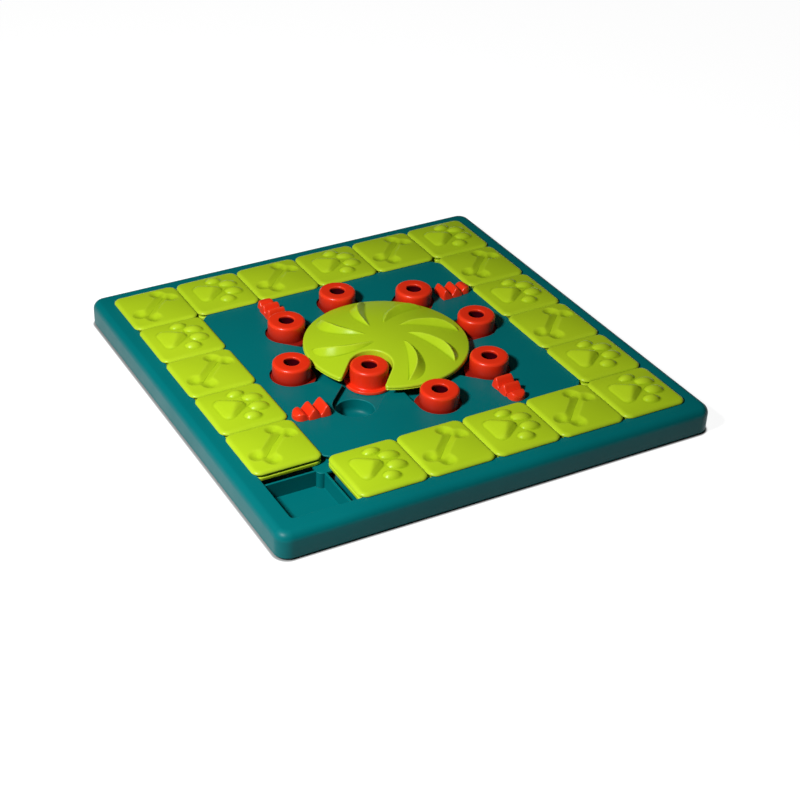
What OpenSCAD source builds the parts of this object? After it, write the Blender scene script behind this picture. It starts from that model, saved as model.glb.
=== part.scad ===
// A treat puzzle board for a pet: tiles slide round a square channel over treat pockets, round knobs
// slide off treat bowls, and a notched wheel in the middle decides which knob can move.
// Millimetres. +Z is up, the front faces -Y, and the origin is on the ground under the board's middle.

/* [Board] */
// Distance between the middles of neighbouring tiles
pitch = 62; // [60:0.5:66]
// Width of the border outside the ring of tiles
border = 16; // [14:0.5:20]
// Radius of the four upright corners of the board
board_corner_r = 12; // [9:1:20]
// Radius of the rounded edge round the top of the board
board_edge_r = 7.5; // [4:0.5:8]
// Radius of the rounded edge round the foot of the skirt
skirt_foot_r = 1.5; // [1:0.25:2]
// Thickness of the upright skirt
skirt_t = 2.4; // [1.8:0.1:3]
// Thickness of the border's flat top and of the deck
deck_t = 2; // [1.8:0.1:2.6]
// Height of the skirt's lower edge above the ground
skirt_z = 1; // [0.6:0.1:2]
// Radius of the four upright corners of the deck
deck_corner_r = 20; // [14:0.5:24]

/* [Treat tray] */
// Height that the rubber feet lift the tray off the ground
foot_h = 2.4; // [2.2:0.1:4]
// Radius of a rubber foot
foot_r = 11; // [6:0.5:18]
// Thickness of a pocket's floor
floor_t = 1.6; // [1.2:0.1:2.4]
// Depth of the treat pockets and bowls below the channel's floor
pocket_depth = 14.5; // [12:0.5:18]
// Half the inside width of a treat pocket
pocket_half = 25; // [22:0.25:26]
// Thickness of a pocket's side walls
pocket_wall = 1.6; // [1.2:0.1:2]
// Radius of a pocket's upright corners
pocket_corner_r = 2; // [1:0.25:4]
// Width of the ledge round a pocket's top
pocket_ledge = 0.4; // [0.3:0.1:1]
// Distance from a pocket's inner side to the end of the gap beside it
pocket_gap_end = 4.8; // [3:0.2:10]
// Radius of the round post in the inner corner of each corner pocket
corner_post_r = 5; // [3:0.25:7]
// Thickness of the trays' flat plates
plate_t = 2; // [1.6:0.1:2.6]
// Inside radius of a treat bowl under a knob
bowl_r = 16.5; // [13:0.25:17.5]
// Radius of the rounded corner between a bowl's side and its floor
bowl_floor_r = 5; // [2:0.5:8]
// Width of the ledge that the centre tray rests on
ledge_w = 4; // [3:0.5:5]

/* [Sliding tiles] */
// Gap between neighbouring tiles
tile_gap = 0.6; // [0.4:0.1:1.2]
// Radius of a tile's upright corners
tile_corner_r = 7.5; // [5:0.5:10]
// Radius of the rounded edge round a tile's top
tile_edge_r = 2.2; // [1:0.1:2.8]
// Thickness of a tile's cap above the lip
cap_t = 3.5; // [3:0.1:5]
// Thickness of a tile's base under the lip
base_t = 3.2; // [2.4:0.1:4.5]
// How far a tile's neck is set back from its sides
neck_inset = 3.3; // [2.6:0.1:4]
// How far the lips of the border and the deck reach past the ring's edge lines
lip_reach = 3; // [1.5:0.1:3.3]
// Thickness of the lips
lip_t = 1.6; // [1.2:0.1:1.8]
// Radius of a paw print's toe
toe_r = 6.2; // [4:0.1:6.5]
// Height of the raised paw prints
paw_h = 2.6; // [1.6:0.1:3]
// Length of the sunk bones
bone_len = 54.8; // [44:0.4:56]
// Depth of the sunk bones
bone_depth = 2.2; // [1.4:0.1:2.6]

/* [Knobs] */
// Distance from a knob's outer side to the inner edge line of the ring of tiles
knob_ring_gap = 14.7; // [13.5:0.1:16]
// Radius of a knob above the deck
knob_r = 16.8; // [14.5:0.1:17.5]
// How far a knob's foot reaches past the knob under the deck
knob_foot_lip = 4.4; // [4:0.1:5.5]
// Height of a knob above the deck
knob_h = 13.4; // [10:0.1:16]
// Radius of the rounded edge round a knob's top
knob_edge_r = 2.6; // [1:0.2:4]
// Radius of the blind hole in a knob
knob_hole_r = 6.9; // [4:0.1:9]
// Clearance between a knob and the sides of its slot
slot_gap = 2.3; // [1.8:0.1:2.6]

/* [Wheel] */
// Clearance between the wheel's rim and the knobs round it
wheel_knob_gap = 2.6; // [2.2:0.1:3.5]
// Height of the wheel's rim above the deck
wheel_lift = 4.6; // [3:0.2:5.4]
// Height of the wheel's straight rim
wheel_rim_h = 3.6; // [2.5:0.1:5]
// Height that the dome rises from the rim to the middle
dome_rise = 9.6; // [6:0.2:14]
// Thickness of the wheel's shell
shell_t = 2.4; // [1.8:0.1:3.2]
// Clearance between the wheel's hub and the foot of the notched knob
hub_gap = 10.8; // [9:0.1:12]
// Clearance between a knob and the sides of the wheel's notch
notch_gap = 2.1; // [1.2:0.1:2.4]
// Clearance between the foot of the notched knob and the side of the well under the wheel
well_gap = 0.3; // [0.3:0.1:1]
// Distance from the vanes' outer ends to the wheel's rim
vane_rim_gap = 8; // [6:0.5:12]
// Distance from the hub's side to the vanes' inner ends
vane_hub_gap = 2; // [1:0.5:8]
// Height of the raised vanes on the dome
vane_h = 2.6; // [1.4:0.1:4]
// Radius of the hub that turns round the post
hub_r = 16; // [14:0.5:20]
// Radius of the post that carries the wheel
post_r = 10; // [8:0.5:11]
// Radius of the wheel's pin inside the post
pin_r = 4; // [3:0.25:5]

/* [Latches] */
// Gap between a latch's inner end and the nearest knob's outer side
latch_knob_gap = 8.3; // [7:0.1:9]
// Gap between a latch's tip and the ring's edge line when it is drawn back
latch_tip_gap = 2; // [1.5:0.1:3]
// Width of a latch across its widest grip
latch_w = 18.8; // [17:0.2:20]
// Height of a latch's tallest grip
latch_h = 9; // [7:0.25:10]
// How far a latch slides towards the tiles
latch_travel = 3.6; // [2:0.1:4]
// Width of the stem that runs in the deck
latch_stem_w = 6; // [4:0.25:8]

/* [Screws and clearances] */
// Radius of a screw's shank
screw_r = 1.5; // [1.2:0.05:1.8]
// Radius of a screw's head
screw_head_r = 3.1; // [2.6:0.1:3.6]
// Height of a screw's head
screw_head_h = 2; // [1.4:0.1:2.4]
// Radius of the bosses that take the screws
boss_r = 4.4; // [3.6:0.1:4.8]
// Up and down clearance under and over each sliding piece
slide_gap = 0.3; // [0.2:0.05:0.4]
// Side clearance between the channel's walls and the tiles
channel_gap = 0.6; // [0.4:0.1:1]
// Clearance round the wheel's pin and post
turn_gap = 0.08; // [0.05:0.01:0.1]

/* [Hidden] */
$fn = 64;
roll_steps = 5;
row_n = 6;
tile_n = 4 * (row_n - 1) - 1;
knob_n = 8;
latch_n = 4;
notched_knob = 5;
ring_out = row_n / 2 * pitch;
ring_in = ring_out - pitch;
ring_mid = ring_out - pitch / 2;
board_half = ring_out + border;

// Heights, from the ground up
pocket_floor_z = foot_h + floor_t;
track_z = pocket_floor_z + pocket_depth;
plate_z = track_z - plate_t;
base_z = track_z + slide_gap;
neck_z = base_z + base_t;
top_z = neck_z + slide_gap + lip_t;
cap_z = top_z + slide_gap;
cap_top_z = cap_z + cap_t;
deck_z = top_z - deck_t;
lip_z = top_z - lip_t;

// Tile
tile_half = (pitch - tile_gap) / 2;
neck_half = tile_half - neck_inset;
channel_out = ring_mid + tile_half + channel_gap;
channel_in = ring_mid - tile_half - channel_gap;
channel_wall_t = 2.2;
lip_out = ring_out - lip_reach;
lip_in = ring_in + lip_reach;
lip_corner_r = 3;
wall_corner_r = deck_corner_r - lip_in + channel_in;
tray_gap_w = pitch - 2 * (pocket_half + pocket_wall + pocket_ledge);
tray_gap_from = ring_mid - pocket_half + pocket_gap_end;
toe_spots = [[3.6, 17.6], [14.5, 7], [14.5, -6.8], [3.6, -17.6]];
pad_spots = [[-5, 0, 9.5], [-13, 7, 8], [-13, -7, 8]];
bone_lobe_r = 7.4;
bone_lobe_at = 7;
bone_shaft_r = 7.6;

// Trays
tray_fit = 0.4;
tray_half = board_half - skirt_t - tray_fit;
tray_corner_r = board_corner_r - skirt_t - tray_fit;
centre_half = channel_in - channel_wall_t;
centre_corner_r = wall_corner_r - channel_wall_t;
bowl_wall = 1.6;
bowl_edge_r = bowl_r + bowl_wall;

// Knobs and their slots
knob_ring_r = ring_in - knob_ring_gap - knob_r;
knob_foot_r = knob_r + knob_foot_lip;
notch_knob_r = hub_r + hub_gap + knob_foot_r;
notch_knob_lean = 0.57 * notch_gap;
well_r = notch_knob_r + knob_foot_r + well_gap;
slot_r = knob_r + slot_gap;
knob_top_z = top_z + knob_h;
knob_foot_z = deck_z - slide_gap;
knob_hole_floor_t = 1.5;
knob_hole_floor_z = top_z + knob_hole_floor_t;
chamfer = 0.8;

// Wheel
wheel_r = knob_ring_r - knob_r - wheel_knob_gap;
rim_z = top_z + wheel_lift;
rim_top_z = rim_z + wheel_rim_h;
dome_r = bulge_r(wheel_r, dome_rise);
dome_z = rim_top_z + dome_rise - dome_r;
wheel_edge_r = 1.4;
wheel_edge_from = acos((wheel_r - wheel_edge_r) / (dome_r - wheel_edge_r));
notch_r = knob_r + notch_gap;
hub_z = base_z;
post_top_z = rim_z;
bore_r = pin_r + turn_gap;
pin_z = plate_z - slide_gap;
washer_r = 8;
washer_t = 1.2;
axle_head_h = 2.4;
axle_head_r = 4.6;
axle_depth = 9;
vane_start_r = hub_r + vane_hub_gap;
vane_end_r = wheel_r - vane_rim_gap;
vane_turn = 32;
vane_lead = 23;
vane_margin = 10;
vane_outer_bulge = 13.8;
vane_inner_bulge = 1;

// Latches
latch_tip_y = ring_in - latch_tip_gap;
latch_y = knob_ring_r * cos(180 / latch_n) + knob_r + latch_knob_gap;
latch_len = latch_tip_y - latch_y;
latch_z = top_z + slide_gap;
latch_stem_back = 19;
latch_stem_y = latch_tip_y - latch_stem_back;
latch_stem_len = 10;
latch_foot_w = 16;
latch_foot_len = 16;
stem_gap = 0.4;

// Screws
joined = 0.4;
boss_bite = 1.4;
screw_mid = channel_out + channel_wall_t + boss_r - boss_bite;
deck_screw_inset = 16;
deck_screw_at = ring_in - deck_screw_inset;
boss_top_t = 1.1;
screw_top_z = top_z - boss_top_t;
screw_hole_gap = 0.3;
screw_hole_r = screw_r + screw_hole_gap;
thread_gap = 0.05;
boss_bore_r = screw_r + thread_gap;

// Colours
teal = [0.01, 0.36, 0.37];
lime = [0.69, 0.82, 0.13];
red = [0.84, 0.19, 0.09];
black = [0.08, 0.08, 0.09];
steel = [0.72, 0.72, 0.74];

function two(i) = str(i < 10 ? "0" : "", i);
function bulge_r(half, rise) = (half * half + rise * rise) / (2 * rise);
function dome_at(r, up = 0) = dome_z + sqrt(pow(dome_r + up, 2) - r * r);
function vane_r(share) = vane_start_r - vane_margin + share * (vane_end_r - vane_start_r + vane_margin + 1);
function arc(cx, cy, r, from, to, steps) =
    [for (k = [0:steps]) let (a = from + (to - from) * k / steps) [cx + r * cos(a), cy + r * sin(a)]];
// The places of the ring run anticlockwise from the empty front left corner, which is place 0
function place(i) =
    let (side = floor(i / (row_n - 1)), k = (i % (row_n - 1)) * pitch, m = ring_mid)
    side == 0 ? [-m + k, -m] : side == 1 ? [m, -m + k] : side == 2 ? [m - k, m] : [-m, m - k];
function has_paw(i) = i < row_n ? i % 2 == 1 : i % 2 == 0;
// The notched knob leans to one side of its notch
function knob_at(k) = k == notched_knob ? [notch_knob_r, -notch_knob_lean, 0] : [knob_ring_r, 0, 0];

frame_names = ["outer_frame", "centre_deck", "track_tray", "centre_tray", "rubber_feet", "case_screws"];
wheel_names = ["swirl_wheel", "axle_washer", "axle_screw"];
knob_names = [for (k = [0:knob_n - 1]) str("knob_", k + 1)];
latch_names = [for (k = [0:latch_n - 1]) str("latch_", k + 1)];
cap_names = [for (i = [1:tile_n]) str("tile_cap_", two(i))];
base_names = [for (i = [1:tile_n]) str("tile_base_", two(i))];

// A square with round corners
module rounded_square(half, r) {
    square([2 * half, 2 * (half - r)], center = true);
    square([2 * (half - r), 2 * half], center = true);
    for (x = [-1, 1], y = [-1, 1]) translate([x * (half - r), y * (half - r)]) circle(r);
}

module slab(half, r, from, to) {
    translate([0, 0, from]) linear_extrude(to - from) rounded_square(half, r);
}

// Half the upright section through a slab with a rounded edge round its top and, if wanted, round its foot
function rounded_side(half, from, to, top_roll, foot_roll) = concat(
    foot_roll > 0 ? arc(half - foot_roll, from + foot_roll, foot_roll, -90, 0, roll_steps) : [[half, from]],
    arc(half - top_roll, to - top_roll, top_roll, 0, 90, roll_steps));

// The slab itself: two bars that cross, with a turned piece in each corner
module pillow(half, r, from, to, top_roll, foot_roll = 0) {
    right = rounded_side(half, from, to, top_roll, foot_roll);
    left = [for (k = [len(right) - 1:-1:0]) [-right[k].x, right[k].y]];
    for (turn = [0, 90]) rotate([90, 0, turn]) translate([0, 0, r - half])
        linear_extrude(2 * (half - r)) polygon(concat(right, left));
    for (x = [-1, 1], y = [-1, 1]) translate([x * (half - r), y * (half - r), 0]) rotate_extrude()
        polygon(concat([[0, to], [0, from]], rounded_side(r, from, to, top_roll, foot_roll)));
}

module at_frame_screws() {
    for (turn = [0:90:270], k = [-1, 1]) rotate(turn) translate([screw_mid, k * 2 * pitch, 0]) children();
}

module at_deck_screws() {
    for (x = [-1, 1], y = [-1, 1]) translate([x * deck_screw_at, y * deck_screw_at, 0]) children();
}

module at_feet() {
    for (turn = [0:90:270]) rotate(turn) {
        translate([ring_mid, ring_mid, 0]) children();
        translate([ring_mid, pitch / 2, 0]) children();
    }
}

module outer_frame() color(teal) difference() {
    union() {
        difference() {
            pillow(board_half, board_corner_r, skirt_z, top_z, board_edge_r, skirt_foot_r);
            pillow(board_half - skirt_t, board_corner_r - skirt_t, skirt_z - 1, deck_z,
                board_edge_r - skirt_t);
        }
        slab(channel_out + channel_wall_t, tile_corner_r, track_z, deck_z + joined);
        at_frame_screws() translate([0, 0, track_z]) cylinder(h = deck_z - track_z + joined, r = boss_r);
    }
    slab(channel_out, lip_corner_r, skirt_z - 1, lip_z);
    slab(lip_out, lip_corner_r, skirt_z - 1, top_z + 1);
    at_frame_screws() translate([0, 0, track_z - 1]) cylinder(h = screw_top_z - track_z + 1, r = boss_bore_r);
}

// The pockets sit under every place of the ring, the empty one too
module pockets(half, r, from, to) {
    for (i = [0:tile_n]) translate(place(i)) slab(half, r, from, to);
}

module at_tray_gaps() {
    for (turn = [0:90:270], k = [0:row_n - 2]) rotate(turn)
        translate([0, (k - (row_n - 2) / 2) * pitch, 0]) children();
}

// Between neighbouring pockets the plate is open, so the tiles slide on the pockets' rims
module track_tray() color(teal) {
    difference() {
        union() {
            slab(tray_half, tray_corner_r, plate_z, track_z);
            slab(centre_half + tray_fit + plate_t, centre_corner_r + tray_fit + plate_t, plate_z - plate_t,
                plate_z + plate_t / 2);
            pockets(pocket_half + pocket_wall, pocket_corner_r + pocket_wall, foot_h, plate_z + plate_t / 2);
        }
        pockets(pocket_half, pocket_corner_r, pocket_floor_z, track_z + 1);
        at_tray_gaps() translate([tray_gap_from, -tray_gap_w / 2, plate_z - 1])
            cube([channel_out - tray_gap_from, tray_gap_w, plate_t + 2]);
        slab(centre_half + tray_fit, centre_corner_r + tray_fit, plate_z, track_z + 1);
        slab(centre_half - ledge_w, centre_corner_r - ledge_w, foot_h - 1, track_z + 1);
        at_frame_screws() translate([0, 0, plate_z - 1]) cylinder(h = plate_t + 2, r = screw_hole_r);
    }
    for (turn = [0:90:270]) rotate(turn) {
        inner = ring_mid - pocket_half;
        intersection() {
            translate([inner, inner, foot_h]) cylinder(h = track_z - foot_h, r = corner_post_r);
            translate([ring_mid, ring_mid, 0])
                slab(pocket_half + pocket_wall / 2, pocket_corner_r, foot_h, track_z);
        }
    }
}

module bowl_shape(r, z0, floor_r, top) {
    rotate_extrude() polygon(concat([[0, top], [0, z0]], arc(r - floor_r, z0 + floor_r, floor_r, -90, 0, 6),
        [[r, top]]));
}

module at_bowls() {
    for (k = [0:knob_n - 1]) rotate(k * 360 / knob_n) translate([knob_ring_r, 0, 0]) children();
}

module centre_tray() color(teal) difference() {
    union() {
        slab(centre_half, centre_corner_r, plate_z, track_z);
        at_bowls() bowl_shape(bowl_edge_r, foot_h + floor_t, bowl_floor_r + bowl_wall, plate_z + plate_t / 2);
        translate([0, 0, plate_z]) cylinder(h = post_top_z - plate_z, r = post_r);
    }
    at_bowls() bowl_shape(bowl_r, pocket_floor_z + bowl_wall, bowl_floor_r, track_z + 1);
    translate([0, 0, plate_z - 1]) cylinder(h = post_top_z - plate_z + 2, r = bore_r);
    at_deck_screws() translate([0, 0, plate_z - 1]) cylinder(h = plate_t + 2, r = screw_hole_r);
}

module latch_slot() {
    translate([0, latch_stem_y + latch_travel / 2, 0])
        cube([latch_stem_w + 2 * stem_gap, latch_stem_len + latch_travel + 2 * stem_gap, 4 * top_z],
            center = true);
}

module centre_deck() color(teal) difference() {
    union() {
        slab(lip_in, deck_corner_r, lip_z, top_z);
        difference() {
            slab(channel_in, wall_corner_r, track_z, top_z);
            slab(centre_half, centre_corner_r, track_z - 1, deck_z);
        }
        at_deck_screws() translate([0, 0, track_z]) cylinder(h = deck_z - track_z + deck_t / 2, r = boss_r);
    }
    translate([0, 0, track_z - 1]) cylinder(h = top_z, r = well_r);
    for (k = [0:knob_n - 1]) rotate(k * 360 / knob_n) translate([0, 0, track_z - 1])
        linear_extrude(top_z) {
            translate([0, -slot_r]) square([knob_ring_r, 2 * slot_r]);
            translate([knob_ring_r, 0]) circle(slot_r);
        }
    at_latches() latch_slot();
    at_deck_screws() translate([0, 0, track_z - 1]) cylinder(h = screw_top_z - track_z + 1, r = boss_bore_r);
}

module rubber_feet() color(black) at_feet() cylinder(h = foot_h, r = foot_r);

module screw() {
    translate([0, 0, plate_z - screw_head_h]) cylinder(h = screw_head_h, r = screw_head_r);
    translate([0, 0, plate_z - 1]) cylinder(h = screw_top_z - plate_z + 0.8, r = screw_r);
}

module case_screws() color(steel) {
    at_frame_screws() screw();
    at_deck_screws() screw();
}

function wheel_outline() = concat(
    [for (r = [0:6:wheel_r - 8]) [r, dome_at(r)]],
    arc(wheel_r - wheel_edge_r, dome_at(wheel_r - wheel_edge_r, -wheel_edge_r), wheel_edge_r,
        wheel_edge_from, 0, 5),
    [[wheel_r, rim_z], [wheel_r - shell_t, rim_z]],
    [for (r = [wheel_r - shell_t:-6:hub_r + 1]) [r, dome_at(r, -shell_t)]],
    [[hub_r, dome_at(hub_r, -shell_t)], [hub_r, hub_z], [post_r + slide_gap, hub_z],
     [post_r + slide_gap, post_top_z + slide_gap], [pin_r, post_top_z + slide_gap],
     [pin_r, pin_z], [0, pin_z]]);

// The U-shaped cut in the wheel's rim, round at its inner end
module notch_plan(r) {
    translate([notch_knob_r, 0]) circle(r);
    translate([notch_knob_r, -r]) square([wheel_r, 2 * r]);
}

// A crescent between two arcs that share their ends
module vane_plan() {
    start = [vane_start_r, 0];
    end = vane_end_r * [cos(vane_turn), -sin(vane_turn)];
    half = norm(end - start) / 2;
    outer_r = bulge_r(half, vane_outer_bulge);
    inner_r = bulge_r(half, vane_inner_bulge);
    translate((start + end) / 2) rotate(atan2(end.y - start.y, end.x - start.x)) difference() {
        translate([0, vane_outer_bulge - outer_r]) circle(outer_r);
        translate([0, vane_inner_bulge - inner_r]) circle(inner_r);
    }
}

module vanes() {
    for (k = [1:knob_n - 1]) intersection() {
        rotate(vane_lead + k * 360 / knob_n) translate([0, 0, rim_z])
            linear_extrude(dome_rise * 3) vane_plan();
        rotate_extrude() polygon(concat(
            [for (k = [0:8]) let (r = vane_r(k / 8)) [r, dome_at(r, -shell_t / 2)]],
            [for (k = [8:-1:0]) let (r = vane_r(k / 8)) [r, dome_at(r, vane_h)]]));
    }
}

module swirl_wheel() color(lime) rotate(notched_knob * 360 / knob_n) difference() {
    union() {
        rotate_extrude() polygon(wheel_outline());
        vanes();
        intersection() {
            translate([0, 0, rim_z]) linear_extrude(dome_rise * 2) notch_plan(notch_r + shell_t);
            rotate_extrude() polygon(concat([[hub_r - 1, rim_z]],
                [for (r = [hub_r - 1:6:wheel_r - 4]) [r, dome_at(r, -shell_t / 2)]], [[wheel_r - 1, rim_z]]));
        }
    }
    translate([0, 0, rim_z - 1]) linear_extrude(dome_rise * 3) notch_plan(notch_r);
    translate([0, 0, pin_z - 1]) cylinder(h = axle_depth + 1, r = boss_bore_r);
}

module axle_washer() color(steel) difference() {
    translate([0, 0, pin_z - washer_t]) cylinder(h = washer_t, r = washer_r);
    translate([0, 0, pin_z - washer_t - 1]) cylinder(h = washer_t + 2, r = boss_bore_r);
}

module axle_screw() color(steel) {
    head_z = pin_z - washer_t - axle_head_h;
    translate([0, 0, head_z]) cylinder(h = axle_head_h, r = axle_head_r);
    translate([0, 0, head_z + 1]) cylinder(h = pin_z + axle_depth - head_z - 1.5, r = screw_r);
}

module knob(k) color(red) rotate(k * 360 / knob_n) translate(knob_at(k)) rotate_extrude()
    polygon(concat([[0, base_z], [knob_foot_r, base_z], [knob_foot_r, knob_foot_z], [knob_r, knob_foot_z]],
        arc(knob_r - knob_edge_r, knob_top_z - knob_edge_r, knob_edge_r, 0, 90, 6),
        [[knob_hole_r + chamfer, knob_top_z], [knob_hole_r, knob_top_z - chamfer],
         [knob_hole_r, knob_hole_floor_z], [0, knob_hole_floor_z]]));

// Latch 1 is on the back side and the others follow clockwise, each one pitch off the middle
module at_latch(k) {
    rotate(-90 * k) translate([-pitch, 0, 0]) children();
}

module at_latches() {
    for (k = [0:latch_n - 1]) at_latch(k) children();
}

module latch_plan() {
    w = latch_w / 2;
    n = latch_len;
    tip = 3.2;
    half = [[w, 0], [w, 0.29 * n], [0.95 * w, 0.31 * n], [0.95 * w, 0.65 * n], [0.76 * w, 0.67 * n],
        [0.7 * w, 0.84 * n]];
    left = [for (k = [len(half) - 1:-1:0]) [-half[k].x, half[k].y]];
    polygon(concat(half, arc(0, n - tip, tip, 20, 160, 6), left));
}

// The stepped grips seen from the side: each ridge is steep inside and slopes down towards the tip
function latch_side() = let (n = latch_len, h = latch_h)
    [[0, 0], [n, 0], [n, 0.34 * h], [0.86 * n, 0.68 * h], [0.77 * n, 0.68 * h], [0.66 * n, 0.34 * h],
     [0.5 * n, 0.92 * h], [0.45 * n, 0.92 * h], [0.3 * n, 0.3 * h], [0.125 * n, h], [0.075 * n, h],
     [0, 0.45 * h]];

module latch(k) color(red) at_latch(k) {
    translate([0, latch_y, latch_z]) intersection() {
        linear_extrude(latch_h) latch_plan();
        rotate([90, 0, 90]) translate([0, 0, -latch_w]) linear_extrude(2 * latch_w) polygon(latch_side());
    }
    translate([-latch_stem_w / 2, latch_stem_y - latch_stem_len / 2, knob_foot_z - 1])
        cube([latch_stem_w, latch_stem_len, latch_z - knob_foot_z + 2]);
    translate([-latch_foot_w / 2, latch_stem_y - latch_foot_len / 2, base_z])
        cube([latch_foot_w, latch_foot_len, knob_foot_z - base_z]);
}

// A low dome on a tile's top, raised or sunk
module bump(at, r, h, z) {
    ball = bulge_r(r, h);
    translate([at.x, at.y, z + h - ball]) sphere(ball);
}

module paw_relief() intersection() {
    union() {
        for (t = toe_spots) bump(t, toe_r, paw_h, cap_top_z);
        for (p = pad_spots) bump(p, p.z, paw_h, cap_top_z);
    }
    slab(neck_half, tile_corner_r - neck_inset, cap_z + 1, cap_top_z + paw_h + 1);
}

module bone_relief() {
    along = bone_len / 2 - bone_lobe_r;
    shaft = bulge_r(bone_shaft_r, bone_depth);
    rotate(45) {
        translate([0, 0, cap_top_z - bone_depth + shaft]) rotate([0, 90, 0])
            cylinder(h = 2 * along, r = shaft, center = true);
        for (x = [-1, 1], y = [-1, 1])
            mirror([0, 0, 1]) bump([x * along, y * bone_lobe_at], bone_lobe_r, bone_depth, -cap_top_z);
    }
}

module tile_cap(i) color(lime) translate(place(i)) difference() {
    union() {
        pillow(tile_half, tile_corner_r, cap_z, cap_top_z, tile_edge_r);
        slab(neck_half, tile_corner_r - neck_inset, neck_z, cap_z + 1);
        if (has_paw(i)) paw_relief();
    }
    if (!has_paw(i)) bone_relief();
}

module tile_base(i) color(lime) translate(place(i)) slab(tile_half, tile_corner_r, base_z, neck_z);

outer_frame();
centre_deck();
track_tray();
centre_tray();
rubber_feet();
case_screws();
swirl_wheel();
axle_washer();
axle_screw();
for (k = [0:knob_n - 1]) knob(k);
for (k = [0:latch_n - 1]) latch(k);
for (i = [1:tile_n]) tile_cap(i);
for (i = [1:tile_n]) tile_base(i);
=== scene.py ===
"""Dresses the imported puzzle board: shaped tiles, wheel, knobs, latches and frame, with their plastics and light."""
import math

import bmesh
import bpy
import numpy as np
from mathutils import Matrix, Vector


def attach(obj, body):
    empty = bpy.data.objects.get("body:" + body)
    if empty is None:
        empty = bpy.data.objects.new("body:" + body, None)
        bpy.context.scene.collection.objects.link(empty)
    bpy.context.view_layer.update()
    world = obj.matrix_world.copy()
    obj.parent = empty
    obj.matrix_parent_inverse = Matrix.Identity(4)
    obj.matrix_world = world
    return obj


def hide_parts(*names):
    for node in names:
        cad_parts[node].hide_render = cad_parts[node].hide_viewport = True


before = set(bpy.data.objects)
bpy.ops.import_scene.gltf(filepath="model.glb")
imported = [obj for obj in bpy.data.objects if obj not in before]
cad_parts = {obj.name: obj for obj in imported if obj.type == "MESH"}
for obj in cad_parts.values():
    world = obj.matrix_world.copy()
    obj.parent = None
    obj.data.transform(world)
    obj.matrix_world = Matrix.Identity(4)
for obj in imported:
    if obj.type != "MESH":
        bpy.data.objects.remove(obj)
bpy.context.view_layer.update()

# A millimetre in metres, and the area in square metres above which a face counts as a wide flat one
MM = 0.001
FLAT_AREA = 4e-6

# Sizes of the solids, in millimetres
PITCH = 62.0
RING_MIDDLE = 155.0
BOARD_HALF = 202.0
BOARD_CORNER = 12.0
BOARD_ROLL = 7.5
SKIRT_Z = 1.0
SKIRT_ROLL = 1.5
SKIRT = 2.4
CHANNEL_OUT = 186.3
CHANNEL_WALL = 2.2
LIP_OUT = 183.0
LIP_CORNER = 3.0
TRACK_Z = 18.5
BASE_Z = 18.8
DECK_Z = 21.9
NECK_Z = 22.0
LIP_Z = 22.3
TOP_Z = 23.9
CAP_Z = 24.2
RIM_Z = 28.5
RIM_TOP_Z = 32.1
TILE_HALF = 30.7
TILE_CORNER = 7.5
NECK_HALF = 27.4
NECK_CORNER = 4.2
FOOT_R = 11.0
FOOT_TOP_Z = 2.4
BOSS_R = 4.4
BOSS_TOP_Z = 22.3
BOSS_BORE_R = 1.55
BOSS_AT = 191.5
BOSS_SIDE = 124.0
KNOB_RING = 92.5
NOTCHED_KNOB = 6
NOTCHED_KNOB_AT = 48.0
NOTCHED_KNOB_LEAN = 1.2
KNOB_R = 16.8
KNOB_FOOT_R = 21.2
SLIDER_FOOT_Z = 21.6
KNOB_TOP_Z = 37.3
KNOB_HOLE_R = 6.9
KNOB_HOLE_Z = 25.4
WHEEL_R = 73.1
NOTCH_R = 18.9
DOME_RISE = 9.6
DOME_R = (WHEEL_R ** 2 + DOME_RISE ** 2) / (2 * DOME_RISE)
DOME_Z = RIM_TOP_Z + DOME_RISE - DOME_R
RIM_ROLL = 1.4
SHELL = 2.4
HORN_R = 2.6
PIN_R = 4.0
PIN_FOOT_Z = 16.2
PIN_BORE_R = 1.55
PIN_BORE_Z = 25.2
POST_ROOM_R = 10.3
HUB_R = 16.0
HUB_TOP_Z = 40.0
LATCH_INNER = 90.5
STEM_MIDDLE = 103.0


# ---------------------------------------------------------------- grids and closed skins

def square_template(side_steps, corner_steps):
    """Directions for one anticlockwise turn round a square with round corners.

    The outline of half width h and corner radius r is (h - r) * reach + r * way: way is the unit vector away from
    the corner's middle, and reach slides along each side from one corner's signs to the next one's."""
    signs = np.array([(1, 1), (-1, 1), (-1, -1), (1, -1)], float)
    reach, way = [], []
    for corner in range(4):
        turn = np.radians(np.linspace(90 * corner, 90 * corner + 90, corner_steps + 1))
        arc = np.stack([np.cos(turn), np.sin(turn)], -1)
        share = np.linspace(0, 1, side_steps + 1)[1:-1, None]
        reach += [np.repeat(signs[corner][None], corner_steps + 1, 0),
                  signs[corner] * (1 - share) + signs[(corner + 1) % 4] * share]
        way += [arc, np.repeat(arc[-1:], side_steps - 1, 0)]
    return np.concatenate(reach), np.concatenate(way)


def square_rings(template, profile):
    """Rings of points, one for each (half width, corner radius, height) of the profile."""
    reach, way = template
    half, radius, height = np.asarray(profile, float).T[:, :, None, None]
    flat = (half - radius) * reach + radius * way
    return np.concatenate([flat, np.broadcast_to(height, flat.shape[:2] + (1,))], -1)


def turned_rings(profile, steps):
    """Rings of points round the upright axis, one for each (radius, height) of the profile."""
    turn = np.linspace(0, 2 * math.pi, steps, endpoint=False)
    radius, height = np.asarray(profile, float).T[:, :, None]
    return np.stack([radius * np.cos(turn), radius * np.sin(turn), height + 0 * turn], -1)


def arc(middle, radius, start, end, steps):
    """Points on an arc: middle + radius * (cos, sin) of angles that run evenly from start to end, in degrees."""
    turn = np.radians(np.linspace(start, end, steps + 1))
    return np.stack([middle[0] + radius * np.cos(turn), middle[1] + radius * np.sin(turn)], -1)


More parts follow.
